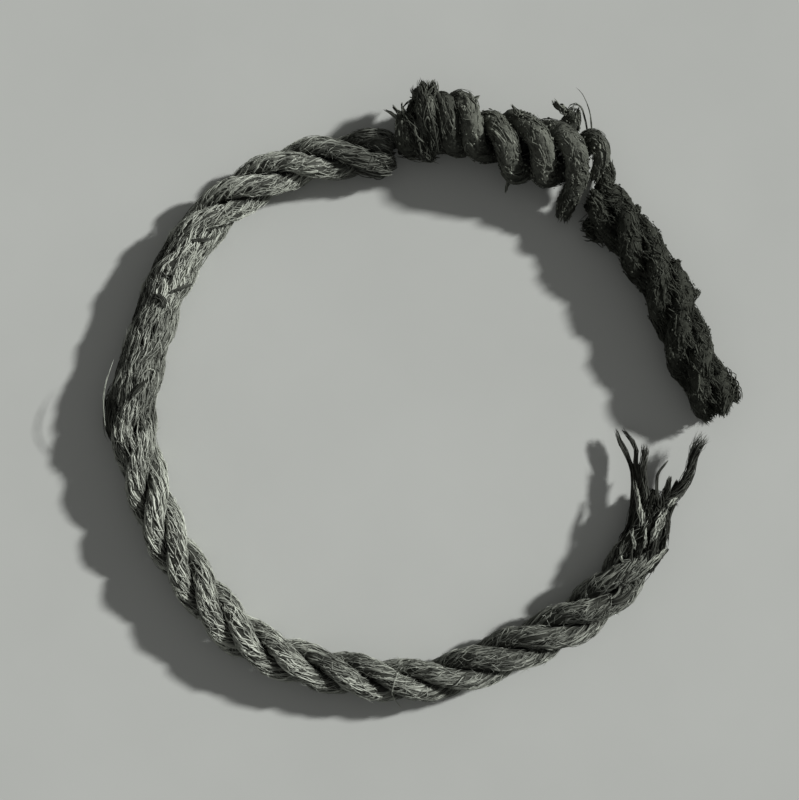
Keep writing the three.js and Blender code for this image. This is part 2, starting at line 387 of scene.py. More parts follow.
def unit(vectors):
    return vectors / np.maximum(np.linalg.norm(vectors, axis=-1, keepdims=True), 1e-12)


class Route:
    """The smooth line through a rope's or yarn's points, and its radius all along."""

    def __init__(self, rows, step=0.5 * MM):
        rows = np.array(rows) * MM
        points = rows[:, :3]
        points = np.vstack([2 * points[0] - points[1], points, 2 * points[-1] - points[-2]])
        line, wide = [], []
        for k in range(len(rows) - 1):
            before, first, last, after = points[k : k + 4]
            pairs = ((before, first), (first, last), (last, after))
            gaps = [math.sqrt(np.linalg.norm(b - a)) for a, b in pairs]
            out = ((first - before) / gaps[0] - (last - before) / (gaps[0] + gaps[1])
                   + (last - first) / gaps[1])
            into = ((last - first) / gaps[1] - (after - first) / (gaps[1] + gaps[2])
                    + (after - last) / gaps[2])
            out, into = out * gaps[1], into * gaps[1]
            steps = max(2, round(gaps[1] ** 2 / step))
            t = np.arange(steps)[:, None] / steps
            bend = (3 * (last - first) - 2 * out - into) * t**2 + (2 * (first - last) + out + into) * t**3
            line.append(first + out * t + bend)
            wide.append(rows[k, 3] + (rows[k + 1, 3] - rows[k, 3]) * t[:, 0])
        self.line = np.vstack([*line, points[-2:-1]])
        self.radius = np.append(np.concatenate(wide), rows[-1, 3]) / 2
        self.at = np.append(0, np.cumsum(np.linalg.norm(np.diff(self.line, axis=0), axis=1)))
        self.length = self.at[-1]
        ahead = unit(np.gradient(self.line, axis=0))
        self.side = unit(np.cross(UP, ahead))
        self.top = np.cross(ahead, self.side)

    def yarn(self):
        return Line(self.line, self.top, self.radius)

    def strands(self, start):
        """The three strands of the rope, wound right-handed round its axis."""
        radius = self.radius * STRAND_SHARE
        found = []
        for k in range(3):
            turn = (math.radians(start + 120 * k) + FULL * (self.at / LAY))[:, None]
            away = self.side * np.cos(turn) + self.top * np.sin(turn)
            found.append(Line(self.line + away * (self.radius - radius)[:, None], away, radius))
        return found


class Line:
    """A strand's or yarn's centre line, with its radius and the way out from it at every step."""

    def __init__(self, centre, out, radius):
        self.centre, self.radius = centre, radius
        self.at = np.append(0, np.cumsum(np.linalg.norm(np.diff(centre, axis=0), axis=1)))
        self.length = self.at[-1]
        self.ahead = unit(np.gradient(centre, axis=0))
        self.out = unit(out - self.ahead * (out * self.ahead).sum(1, keepdims=True))
        self.across = np.cross(self.ahead, self.out)

    def swollen(self, rng, amount):
        """Makes the line thicker in some places and thinner in others."""
        for length in SWELLS:
            wave = np.sin(self.at / (length * MM) * FULL + rng.uniform(*PHASES))
            self.radius = self.radius * (1 + amount * wave)

    def until(self, length):
        """The same line, cut short."""
        kept = self.at <= length
        return Line(self.centre[kept], self.out[kept], self.radius[kept])

    def read(self, values, along):
        if values.ndim == 1:
            return np.interp(along, self.at, values)
        return np.stack([np.interp(along, self.at, column) for column in values.T], axis=-1)

    def thick(self, along):
        return self.read(self.radius, along)

    def place(self, along, around, height):
        """Points a distance along the line, turned round it from its crown, and a height off it."""
        within = np.clip(along, 0, self.length)
        out, across = unit(self.read(self.out, within)), unit(self.read(self.across, within))
        away = out * np.cos(around)[..., None] + across * np.sin(around)[..., None]
        past = unit(self.read(self.ahead, within)) * (along - within)[..., None]
        return self.read(self.centre, within) + past + away * height[..., None], away


# ---- Meshes -------------------------------------------------------------------------------------


class Heap:
    """Closed tubes gathered to make one mesh, each with its tone and the way its fibres run."""

    def __init__(self):
        self.points, self.tones, self.corners, self.sizes, self.lies = [], [], [], [], []
        self.count = 0

    def add(self, path, away, wide, high, tone, sides, uneven=1.0, shift=0.0):
        """Adds tubes pointed at both ends: path and away are (tubes, steps, 3), the rest (tubes, steps)."""
        tubes, steps = path.shape[:2]
        rings = steps - 2
        ahead = unit(np.gradient(path, axis=1))
        away = unit(away - ahead * (away * ahead).sum(-1, keepdims=True))
        across = np.cross(away, ahead)
        turn = np.arange(sides) * FULL / sides
        inner = slice(1, -1)
        x = (np.broadcast_to(wide, (tubes, steps))[:, inner, None] * np.cos(turn) * uneven)[..., None]
        y = (np.broadcast_to(high, (tubes, steps))[:, inner, None] * np.sin(turn) * uneven)[..., None]
        ring = path[:, inner, None] + across[:, inner, None] * x + away[:, inner, None] * y
        ring = ring.reshape(tubes, rings * sides, 3)
        points = np.concatenate([path[:, :1], ring, path[:, -1:]], axis=1)
        low = UNDERSIDE + np.linspace(0, PRESSED, tubes)[:, None]
        points[..., 2] = np.maximum(points[..., 2], low)
        tone = np.broadcast_to(tone, (tubes, steps))
        spread = np.repeat(tone[:, inner], sides, axis=1)
        tones = np.concatenate([tone[:, :1], spread, tone[:, -1:]], axis=1)

        one = np.arange(sides)
        two = (one + 1) % sides
        last = 1 + rings * sides
        foot, far = 1 + (rings - 1) * sides + one, 1 + (rings - 1) * sides + two
        near_tip = np.stack([np.zeros(sides, int), 1 + two, 1 + one], 1).ravel()
        base = 1 + (np.arange(rings - 1) * sides)[:, None]
        walls = np.stack([base + one, base + two, base + sides + two, base + sides + one], -1).ravel()
        far_tip = np.stack([np.full(sides, last), foot, far], 1).ravel()
        pattern = np.concatenate([near_tip, walls, far_tip])
        sizes = np.concatenate([np.full(sides, 3), np.full(sides * (rings - 1), 4), np.full(sides, 3)])

        share = np.concatenate([
            np.stack([one + 0.5, one + 1, one], 1).ravel(),
            np.broadcast_to(np.stack([one, one + 1, one + 1, one], -1), (rings - 1, sides, 4)).ravel(),
            np.stack([one + 0.5, one, one + 1], 1).ravel(),
        ]) / sides
        level = np.minimum((pattern + sides - 1) // sides, steps - 1)
        level[pattern == last] = steps - 1
        paces = np.linalg.norm(np.diff(path, axis=1), axis=2)
        run = np.concatenate([np.zeros((tubes, 1)), np.cumsum(paces, 1)], 1)
        girth = FULL * np.sqrt(np.mean((x**2).max(2) + (y**2).max(2), axis=(1, 2)) / 2)
        lie = np.stack([share * girth[:, None] + shift, run[:, level]], -1) / MM

        size = points.shape[1]
        self.points.append(points.reshape(-1, 3))
        self.tones.append(tones.ravel())
        self.corners.append((self.count + np.arange(tubes)[:, None] * size + pattern).ravel())
        self.sizes.append(np.tile(sizes, tubes))
        self.lies.append(lie.reshape(-1, 2))
        self.count += tubes * size

    def make(self, name, finish, replaced=()):
        """The finished piece: one mesh, riding on the rope's own body."""
        mesh = bpy.data.meshes.new(name)
        points, corners, sizes = (np.concatenate(x) for x in (self.points, self.corners, self.sizes))
        mesh.vertices.add(len(points))
        mesh.vertices.foreach_set("co", points.astype(np.float32).ravel())
        mesh.loops.add(len(corners))
        mesh.loops.foreach_set("vertex_index", corners.astype(np.int32))
        mesh.polygons.add(len(sizes))
        mesh.polygons.foreach_set("loop_start", np.append(0, np.cumsum(sizes)[:-1]).astype(np.int32))
        mesh.polygons.foreach_set("use_smooth", np.ones(len(sizes), bool))
        lie = mesh.uv_layers.new(name="lie")
        lie.data.foreach_set("uv", np.concatenate(self.lies).astype(np.float32).ravel())
        tone = mesh.attributes.new("tone", "FLOAT", "POINT")
        tone.data.foreach_set("value", np.concatenate(self.tones).astype(np.float32))
        mesh.update(calc_edges=True)
        mesh.validate()
        mesh.materials.append(finish)
        piece = bpy.data.objects.new(name, mesh)
        bpy.context.scene.collection.objects.link(piece)
        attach(piece, "root")
        if replaced:
            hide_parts(*replaced)
        return piece


# ---- Fibres -------------------------------------------------------------------------------------


GATHERED = 0.32  # of its distance from the middle of its yarn, that a fibre moves in
YARN_TONES = (0.72, 1.18)
MANY = 97  # tones, more than a strand has yarns
DIVE = 2.4  # how late along its half a fibre sinks at its ends
LUMPS = ((23, 0.5), (11, 0.3), (6, 0.3), (3.5, 0.25))  # a heart's waves: length in mm, share of the height
INSET = 0.3 * MM  # how far inside its strand's ends a heart stops
ROUNDED = 3 * MM  # the length over which its ends are rounded
CORE_LONG = 0.93  # a loose yarn's core: its share of the length, then its mesh and tone
CORE_RINGS = 18
CORE_SIDES = 7
CORE_UNEVEN = 0.12
# The core's near-black tone is painted shade, seen in the gaps between the yarn's fibres.
CORE_TONE = 0.05
PARTING = 0.55  # of its length, where a loose yarn starts to part


def slid(rng, count):
    """How far each fibre's pattern is slid along, so that no two look alike."""
    return rng.uniform(0, 90, (count, 1)) * MM


def heart(heap, line, rng, share, lumps, grit=0.0, step=1.6 * MM, sides=20, tone=0.0, opened=0.0, soil_and_painted_light=None):
    """A strand's uneven inside, painted dark as the shade between its fibres, which shows between them and
    thins where the end opens.
    """
    steps = max(12, round(line.length / step))
    along = np.linspace(INSET, line.length - INSET, steps)[None]
    path, away = line.place(along, np.zeros_like(along), np.zeros_like(along))
    ends = np.minimum(along, line.length - along) / ROUNDED
    rounding = np.clip(ends * (2 - ends), 0.02, 1) * (ends < 1) + (ends >= 1)
    radius = line.thick(along) * share * np.sqrt(rounding)
    # A tone factor along the line: soil, with painted light and shade.
    if soil_and_painted_light:
        tone = tone * np.interp(along, *soil_and_painted_light)
    # Painted shade: the heart goes black where the end has opened.
    if opened:
        radius = radius * np.interp(line.length - along, (0, opened), (0.6, 1.0))
        tone = tone * np.interp(line.length - along, (opened, 1.4 * opened), (0.0, 1.0))
    turn = np.arange(sides) * FULL / sides
    uneven = 1 + grit * rng.normal(0, 1, (1, steps - 2, sides))
    for length, size in LUMPS:
        for rounds in (1, 2, 3):
            phase = along[:, 1:-1, None] * FULL / (length * MM * rng.uniform(0.8, 1.25))
            turned = rounds * turn * rng.choice((-1, 1))
            uneven = uneven + lumps * size * np.sin(phase + turned + rng.uniform(*PHASES))
    heap.add(path, away, radius, radius, tone, sides, uneven)


def cover(heap, line, rng, count, lean, leaning, half, wide, flat, proud, sunk, tone, reach=115, steps=7,
          stretch=None, ripple=0.06, yarns=9, crest=0.5, soil_and_painted_light=None, painted_groove_shade=0.0):
    """Lays tapered fibres on a strand, across it at their own twist and gathered into its yarns.

    Ranges of half their length, their width, their height over the strand and how deep each end is sunk,
    in mm; lean, its spread and reach, how far round from the crown they lie, in degrees.
    """
    low, high = stretch or (0, line.length)
    middle = rng.uniform(low, high, (count, 1))
    turned = reach if isinstance(reach, tuple) else (-reach, reach)
    start = np.radians(rng.uniform(*turned, (count, 1)))
    slant = np.radians(rng.normal(lean, leaning, (count, 1)))
    reach_half = rng.uniform(*half, (count, 1)) * MM
    thin = rng.uniform(0, 1, (count, 1))
    width = (wide[0] + (wide[1] - wide[0]) * thin**1.6) * MM / 2

    gain = math.tan(math.radians(lean)) * np.diff(line.at) / np.maximum(line.radius[1:], THIN)
    wound = np.append(0, np.cumsum(gain))
    apart = FULL / yarns
    off = start - np.interp(middle, line.at, wound)
    yarn = np.round(off / apart)
    off = off - yarn * apart
    start = start - GATHERED * off
    shades = rng.uniform(*YARN_TONES, MANY)[yarn.astype(int) % MANY]

    t = np.linspace(-1, 1, steps)[None]
    along = np.clip(middle + reach_half * t * np.cos(slant), -1.0 * MM, line.length + 1.0 * MM)
    radius = line.thick(along)
    wave = ripple * np.sin(t * rng.uniform(1.5, 5, (count, 1)) + rng.uniform(*PHASES, (count, 1)))
    around = start + reach_half * t * np.sin(slant) / np.maximum(radius, THIN) + wave
    lift = rng.uniform(*proud, (count, 1)) * MM - crest * MM * (2 * off / apart) ** 2
    drop = rng.uniform(*sunk, (count, 2)) * MM
    ends = drop[:, :1] * np.clip(-t, 0, 1) ** DIVE + drop[:, 1:] * np.clip(t, 0, 1) ** DIVE
    path, away = line.place(along, around, radius * SEATED + lift - ends)
    swell = 1 + 0.18 * np.sin(t * 6 + rng.uniform(*PHASES, (count, 1)))
    swell = np.clip(1 - np.abs(t) ** 3, 0, 1) ** 0.7 * swell
    # Painted shade: each fibre is darker towards its ends, where they sink under the others.
    tones = rng.uniform(*tone, (count, 1)) * shades * (1 - 0.25 * np.abs(t) ** 3)
    # A tone factor along the strand: soil, with painted light and shade.
    if soil_and_painted_light:
        tones = tones * np.interp(along, *soil_and_painted_light)
    # Painted shade: fibres darken the farther round from the crown they lie, into the grooves between the
    # strands.
    tones = tones * (1 - painted_groove_shade * np.clip((np.abs(around) - HIDDEN) / HIDDEN, 0, 1))
    heap.add(path, away, width * swell, width * swell * flat, tones, SIDES, shift=slid(rng, count))


def stray(heap, line, rng, count, long, wide, rise, lean, tone, reach=100, stretch=None, steps=6):
    """Broken fibres that stand out of a strand's surface."""
    low, high = stretch or (0, line.length)
    root = rng.uniform(low, high, (count, 1))
    slant = np.radians(rng.normal(lean, 38, (count, 1))) + math.pi * rng.integers(0, 2, (count, 1))
    long = rng.uniform(*long, (count, 1)) * MM
    t = np.linspace(0, 1, steps)[None]
    along = root + long * t * np.cos(slant)
    radius = line.thick(np.clip(along, 0, line.length))
    curl = rng.normal(0, 0.35, (count, 1)) * t**2
    start = np.radians(rng.uniform(-reach, reach, (count, 1)))
    around = start + long * t * np.sin(slant) / np.maximum(radius, THIN) + curl
    height = radius * SEATED + rng.uniform(*rise, (count, 1)) * MM * t ** rng.uniform(1.2, 2.6, (count, 1))
    path, away = line.place(along, around, height)
    width = rng.uniform(*wide, (count, 1)) * MM / 2 * (1 - 0.75 * t)
    heap.add(path, away, width, width, rng.uniform(*tone, (count, 1)), SIDES, shift=slid(rng, count))


def torn_end(heap, line, rng, at_start, count, out, wide, flare, tone, inside=6, steps=7):
    """The broken fibres at a strand's end, standing past its heart."""
    t = np.linspace(0, 1, steps)[None]
    past = rng.uniform(*out, (count, 1)) * MM
    reach = -inside * MM * rng.uniform(0.6, 1, (count, 1)) * (1 - t) + past * t
    along = -reach if at_start else line.length + reach
    share = np.sqrt(rng.uniform(0.05, 1, (count, 1)))
    turn = rng.uniform(0, FULL, (count, 1)) + rng.normal(0, 0.35, (count, 1)) * t
    end_radius = line.radius[0 if at_start else -1]
    radius = np.maximum(line.thick(np.clip(along, 0, line.length)), end_radius)
    opened = 1 + flare * rng.uniform(-0.3, 1, (count, 1)) * np.clip(t, 0, 1) ** 2
    path, away = line.place(along, turn, radius * share * opened * SEATED)
    width = rng.uniform(*wide, (count, 1)) * MM / SLIM * (1 - t**3 * 0.8)
    # Painted shade: fibres nearer the middle of the end are darker.
    tones = rng.uniform(*tone, (count, 1)) * (0.6 + 0.4 * share)
    heap.add(path, away, width, width * FLAT, tones, SIDES, shift=slid(rng, count))


def loose_yarn(heap, rows, rng, count, wide, tone, splay=0.6, twist=60, core=0.6, steps=11, stop=0.8,
               wander=1.0):
    """A yarn that has come free: fibres that wander round its line and part towards its tip."""
    line = Route(rows, 0.3 * MM).yarn()
    if core:
        inner = np.linspace(0, line.length * CORE_LONG, CORE_RINGS + 2)[None]
        path, away = line.place(inner, np.zeros_like(inner), np.zeros_like(inner))
        radius = line.thick(inner) * core
        uneven = 1 + CORE_UNEVEN * rng.normal(0, 1, (1, CORE_RINGS, CORE_SIDES))
        heap.add(path, away, radius, radius, CORE_TONE, CORE_SIDES, uneven)
    t = np.linspace(0, 1, steps)[None]
    first = rng.uniform(-0.05, 0.4, (count, 1)) * line.length
    last = rng.uniform(stop, 1.03, (count, 1)) * line.length
    along = first + (last - first) * t
    share = np.sqrt(rng.uniform(0.15, 1, (count, 1)))
    wave = np.sin(t * rng.uniform(3, 10, (count, 1)) + rng.uniform(*PHASES, (count, 1)))
    share = share * (1 + 0.3 * wander * wave)
    turn = rng.uniform(0, FULL, (count, 1)) + along / MM * math.radians(twist) / 10
    wave = np.sin(t * rng.uniform(2, 9, (count, 1)) + rng.uniform(*PHASES, (count, 1)))
    turn = turn + 0.7 * wander * wave
    parted = np.clip((along / line.length - PARTING) / (1 - PARTING), 0, 1.2) ** 2
    opened = 1 + splay * rng.uniform(-0.2, 1, (count, 1)) * parted
    path, away = line.place(along, turn, line.thick(np.clip(along, 0, line.length)) * share * opened)
    width = rng.uniform(*wide, (count, 1)) * MM / SLIM * np.clip(1 - np.abs(2 * t - 1) ** 4, 0, 1) ** 0.6
    # Painted shade: fibres nearer the middle of the yarn are darker.
    tones = rng.uniform(*tone, (count, 1)) * (0.55 + 0.45 * share)
    heap.add(path, away, width, width * FLAT, tones, SIDES, shift=slid(rng, count))


def thickest(rows):
    """A yarn's greatest diameter, in mm."""
    return max(row[3] for row in rows)


def fibres_for(rows, per_mm, least=1):
    """How many fibres a yarn has, going by its thickness."""
    return max(least, round(thickest(rows) * per_mm))


def crumbs(heap, line, rng, count, size, tone, reach=110):
    """Small lumps of dried dirt stuck to a strand."""
    along = rng.uniform(0, line.length, (count, 1))
    around = np.radians(rng.uniform(-reach, reach, (count, 1)))
    radius = rng.uniform(*size, (count, 1)) * MM / 2
    t = np.linspace(-1, 1, 5)[None]
    along = along + radius * t
    height = line.thick(along) * rng.uniform(0.95, 1.1, (count, 1))
    path, away = line.place(along, np.broadcast_to(around, along.shape), height)
    width = radius * np.clip(1 - t**2, 0, 1) ** 0.5
    heap.add(path, away, width * rng.uniform(0.8, 1.3, (count, 1)), width * FLAT,
             rng.uniform(*tone, (count, 1)), 5)


# ---- Finishes -----------------------------------------------------------------------------------


class Value:
    """A shader value: an expression on it adds the Math nodes that work it out."""

    def __init__(self, finish, socket):
        self.finish, self.socket = finish, socket

    def maths(self, operation, *values):
        return self.finish.add("ShaderNodeMath", {"operation": operation}, dict(enumerate(values)))

    def __add__(self, other):
        return self.maths("ADD", self, other)

    def __radd__(self, other):
        return self.maths("ADD", other, self)

    def __mul__(self, other):
        return self.maths("MULTIPLY", self, other)

    def __rmul__(self, other):
        return self.maths("MULTIPLY", other, self)


class Finish:
    """A material, with one method that adds any node."""

    def __init__(self, name):
        self.material = bpy.data.materials.new(name)
        self.material.use_nodes = True
        self.tree = self.material.node_tree
        self.tree.nodes.clear()

    def add(self, kind, settings=None, sockets=None, output=0):
        node = self.tree.nodes.new(kind)
        for key, value in (settings or {}).items():
            if key == "stops":
                while len(node.color_ramp.elements) < len(value):
                    node.color_ramp.elements.new(0.5)
                for element, (place, grey) in zip(node.color_ramp.elements, value):
                    element.position, element.color = place, (grey, grey, grey, 1)
            else:
                setattr(node, key, value)
        for key, value in (sockets or {}).items():
            if isinstance(value, Value):
                self.tree.links.new(value.socket, node.inputs[key])
            else:
                node.inputs[key].default_value = value
        return Value(self, node.outputs[output]) if node.outputs else node

    def tone(self):
        return self.add("ShaderNodeAttribute", {"attribute_name": "tone"}, output="Fac")

    def objects(self, scale):
        place = self.add("ShaderNodeTexCoord", output="Object")
        return self.add("ShaderNodeVectorMath", {"operation": "MULTIPLY"}, {0: place, 1: scale})

    def lie(self, across, along):
        """The way the fibres run: a pattern this fine across them and along them, in mm."""
        place = self.add("ShaderNodeUVMap", {"uv_map": "lie"})
        return self.add("ShaderNodeVectorMath", {"operation": "MULTIPLY"},
                        {0: place, 1: (1 / across, 1 / along, 1)})

    def noise(self, place, detail=2.0, rough=0.5):
        return self.add("ShaderNodeTexNoise", {"noise_dimensions": "3D"},
                        {"Vector": place, "Scale": 1.0, "Detail": detail, "Roughness": rough})

    def ramp(self, value, *stops):
        return self.add("ShaderNodeValToRGB", {"stops": stops}, {"Fac": value})

    def between(self, share, one, two):
        return self.add("ShaderNodeMix", {"data_type": "RGBA", "clamp_factor": True},
                        {0: share, 6: one, 7: two}, output=2)

    def bump(self, height, strength, distance):
        return self.add("ShaderNodeBump", None,
                        {"Height": height, "Strength": strength, "Distance": distance}, output="Normal")

    def shade(self, colour, roughness, normal, **constants):
        sockets = {"Base Color": colour, "Roughness": roughness, **constants}
        if normal is not None:
            sockets["Normal"] = normal
        shader = self.add("ShaderNodeBsdfPrincipled", None, sockets)
        self.add("ShaderNodeOutputMaterial", None, {"Surface": shader})
        return self.material


FINE_GRAIN = (0.14, 2.6)  # mm across the fibres and along them
BROAD_GRAIN = (0.5, 7.0)
GRITS = 1500  # specks of dust in a metre
SPOTTED = 4  # spots across a stain
STAIN_EDGE = (0.35, 0.60)  # from what noise value to what value a stain fades out
SPOT_EDGE = (0.34, 0.50)
DUST_EDGE = (0.50, 0.64)
CARD = ((0.50, 0.515, 0.487, 1), (0.58, 0.597, 0.565, 1))  # the floor's two mottled colours
CARD_MOTTLES = 9.0  # in a metre


def fibre_finish(name, deep, light, stain, stain_size, streak, dust=0.0):
    """Dry vegetable fibre: streaked along its lie, darker in stained patches and in its depths, where the
    dark is painted shade.
    """
    finish = Finish(name)
    fine = finish.noise(finish.lie(*FINE_GRAIN), 2.0, 0.6)
    broad = finish.noise(finish.lie(*BROAD_GRAIN), 2.0, 0.5)
    stains = finish.noise(finish.objects((1 / stain_size,) * 3), 3.0, 0.6)
    stains = finish.ramp(stains, (STAIN_EDGE[0], 1 - stain), (STAIN_EDGE[1], 1.0))
    spots = finish.noise(finish.objects((SPOTTED / stain_size,) * 3), 2.0, 0.6)
    spots = finish.ramp(spots, (SPOT_EDGE[0], 1 - stain), (SPOT_EDGE[1], 1.0))
    shine = finish.tone() * (1 - streak + streak * (fine + broad)) * stains * spots
    grit = finish.noise(finish.objects((GRITS,) * 3), 2.0, 0.7)
    if dust:
        dusted = finish.ramp(grit, (DUST_EDGE[0], 0.0), (DUST_EDGE[1], 1.0))
        shine = shine + dusted * dust * (0.2 + 0.8 * finish.tone())
    rough = 0.80 + 0.16 * broad
    colour = finish.between(shine, deep, light)
    relief = finish.bump(fine * 0.5 + broad * 0.3 + grit * (0.2 + dust * 3), 0.6, 0.4 * MM)
    return finish.shade(colour, rough, relief, **{"Specular IOR Level": 0.15})


def floor_finish():
    finish = Finish("pale_card")
    mottle = finish.noise(finish.objects((CARD_MOTTLES,) * 3), 4.0, 0.55)
    colour = finish.between(mottle, *CARD)
    return finish.shade(colour, 0.85, None, **{"Specular IOR Level": 0.1})


# ---- View, light and floor ----------------------------------------------------------------------

CAMERA_AT = (-9.1 * MM, -1.9 * MM, 822 * MM)  # straight above the ring's middle
LENS = 85  # mm
FILM = 36  # mm
NEAREST = 10 * MM  # that the camera sees
SUN_AROUND = math.radians(24)
SUN_UP = math.radians(27.5)
SUN_WIDE = math.radians(4)
SUN_POWER = 4.2
ROOM_POWER = 0.18
FLOOR_SIDE = 6

bpy.ops.object.select_all(action="DESELECT")
bpy.ops.object.camera_add(location=CAMERA_AT, rotation=(0, 0, 0))
camera = bpy.context.object
camera.data.lens = LENS
camera.data.sensor_width = FILM
camera.data.clip_start = NEAREST
bpy.context.scene.camera = camera

level = math.cos(SUN_UP)
towards_sun = Vector((level * math.cos(SUN_AROUND), level * math.sin(SUN_AROUND), math.sin(SUN_UP)))
bpy.ops.object.light_add(type="SUN", rotation=towards_sun.to_track_quat("Z", "Y").to_euler())
sun = bpy.context.object.data
sun.energy = SUN_POWER
sun.angle = SUN_WIDE

world = bpy.data.worlds.new("soft_room")
world.use_nodes = True
room = world.node_tree.nodes["Background"].inputs
room["Color"].default_value = (1, 1, 1, 1)
room["Strength"].default_value = ROOM_POWER
bpy.context.scene.world = world
bpy.context.scene.view_settings.view_transform = "Standard"

bpy.ops.mesh.primitive_plane_add(size=FLOOR_SIDE, location=(0, 0, 0))
floor = bpy.context.object
floor.name = "floor"
floor.data.materials.append(floor_finish())

bleached = fibre_finish("bleached_fibre", deep=(0.016, 0.017, 0.013, 1), light=(0.57, 0.597, 0.520, 1),
                        stain=0.42, stain_size=24 * MM, streak=0.45)
dark = fibre_finish("dark_fibre", deep=(0.010, 0.011, 0.008, 1), light=(0.255, 0.269, 0.225, 1),
                    stain=0.4, stain_size=18 * MM, streak=0.4, dust=0.32)
matted = fibre_finish("matted_fibre", deep=(0.008, 0.009, 0.006, 1), light=(0.090, 0.096, 0.078, 1),
                      stain=0.45, stain_size=14 * MM, streak=0.4, dust=0.24)

# ---- Pale length --------------------------------------------------------------------------------


pale_route = Route(PALE_ROUTE)
pale_rope = Heap()
for k, strand in enumerate(pale_route.strands(PALE_START)):
    rng = np.random.default_rng(10 + k)
    strand.swollen(rng, 0.025)
    end = strand.length
    # The heart's low tone is painted shade in the gaps between the fibres.
    heart(pale_rope, strand.until(end - TIP), rng, share=0.84, lumps=0.03, tone=0.1, opened=OPENED - TIP)
    fibres = Heap()
    sound = (0, end - OPENED)
    # Distances along the strand, and how light its fibres are there: soil darkens the last stretch; the start
    # is darker with soil and painted shadow; the top and the lower-left stretch, which faces away from the
    # sun, are painted lighter as painted light.
    soil_and_painted_light = (
        (0, 0.010, 0.028, 0.045, 0.11, 0.14, 0.20, 0.24, 0.32, 0.36, end - 0.10, end - 0.055, end - 0.025),
        (0.22, 0.4, 1.0, 1.8, 1.6, 1.0, 0.95, 1.7, 2.0, 1.2, 0.95, 0.85, 0.6),
    )
    # The 0.4 darkens fibres in the grooves between the strands: painted shade.
    common = {"lean": -38, "stretch": sound, "soil_and_painted_light": soil_and_painted_light, "painted_groove_shade": 0.4}
    cover(fibres, strand, rng, 360, leaning=6, half=(5, 11), wide=(1.0, 1.75), flat=0.45,
          proud=(-0.6, -0.1), sunk=(0.2, 0.9), tone=(0.4, 0.8), **common)
    cover(fibres, strand, rng, 1500, leaning=9, half=(3, 9), wide=(0.33, 0.87), flat=0.6,
          proud=(-0.2, 0.35), sunk=(0.1, 1.0), tone=(0.35, 1.0), ripple=0.08, **common)
    cover(fibres, strand, rng, 1350, leaning=20, half=(2, 6), wide=(0.18, 0.38), flat=0.9,
          proud=(-0.1, 0.6), sunk=(-0.4, 0.9), tone=(0.35, 1.25), steps=6, ripple=0.12, **common)
    stray(fibres, strand, rng, 600, long=(1.5, 6), wide=(0.12, 0.28), rise=(0.3, 2.0), lean=-30,
          tone=(0.5, 1.3), stretch=(0, end - TIP))
    torn_end(fibres, strand, rng, True, 60, out=(0.2, 2.5), wide=(0.4, 1.1), flare=0.3, tone=(0.1, 0.5))
    fibres.make(f"pale_fibres_{k + 1}", bleached)
rope = pale_rope.make("pale_rope", bleached, ["pale_length"])

# Between the top and the widest place the crowns are worn off, and broken fibre fills the grooves.
rng = np.random.default_rng(21)
axis = pale_route.yarn()
worn = Heap()
common = {"flat": 0.7, "steps": 6, "ripple": 0.04, "yarns": 15}
for count, stretch in ((1100, (0.115, 0.170)), (900, (0.095, 0.200))):
    cover(worn, axis, rng, count, lean=-5, leaning=10, half=(3, 9), wide=(0.25, 0.75), proud=(-2.7, -0.6),
          sunk=(0.1, 1.2), tone=(0.25, 1.0), reach=150, stretch=stretch, **common)
# Painted light and shade: a bright patch on the inner side, which faces the sun, and a dark band along the
# outer side, which faces away from it.
cover(worn, axis, rng, 170, lean=-12, leaning=12, half=(2, 6), wide=(0.3, 0.8), proud=(-1.0, 0.1),
      sunk=(0.1, 1.0), tone=(1.2, 2.2), reach=(-55, 10), stretch=(0.092, 0.128), **common)
cover(worn, axis, rng, 480, lean=-12, leaning=22, half=(2, 6), wide=(0.25, 0.7), proud=(-1.4, 0.2),
      sunk=(0.1, 1.2), tone=(0.0, 0.25), reach=(35, 110), stretch=(0.088, 0.190), **common)
worn.make("pale_worn_fibres", bleached)

rng = np.random.default_rng(31)
frays = Heap()
# Near-black fibre sunk deep in the opened end: painted shade in its hollows.
cover(frays, axis, rng, 420, lean=-6, leaning=14, half=(5, 12), wide=(0.44, 1.2), flat=0.6, proud=(-3.5, 0.2),
      sunk=(0.1, 1.6), tone=(0.0, 0.12), reach=180, ripple=0.2, crest=1.4,
      stretch=(axis.length - 1.05 * OPENED, axis.length - 0.3 * TIP))
for rows in FRAY_BODY:
    loose_yarn(frays, rows, rng, 44, wide=(0.25, 0.7), tone=(0.0, 0.22))
for rows in FRAY_PATCH:
    count = fibres_for(rows, per_mm=9, least=5)
    loose_yarn(frays, rows, rng, count, wide=(0.25, 0.55), tone=(0.6, 1.5), splay=0.7, core=0.0, stop=0.75)
for rows in PALE_TUFTS:
    loose_yarn(frays, rows, rng, 50, wide=(0.25, 0.6), tone=(0.0, 0.25), splay=0.4, twist=20, stop=0.7,
               wander=0.35)
# The yarns over the top end are dark with soil and with painted shadow.
for rows in PALE_END:
    loose_yarn(frays, rows, rng, 56, wide=(0.3, 0.8), tone=(0.08, 0.5), splay=0.3, twist=15, stop=0.9,
               wander=0.5)
for rows in PALE_TAILS.values():
    count = fibres_for(rows, per_mm=13, least=9)
    core = 0.62 if thickest(rows) > CORED else 0.0
    loose_yarn(frays, rows, rng, count, wide=(0.25, 0.6), tone=(0.0, 0.22), splay=0.35, core=core, stop=0.92)
for rows in PALE_THREADS.values():
    loose_yarn(frays, rows, rng, 3, wide=(0.3, 0.45), tone=(1.4, 1.8), splay=0.2, core=0.0, stop=0.95)
frays.make("pale_frays", bleached)

# ---- Loosened length ----------------------------------------------------------------------------


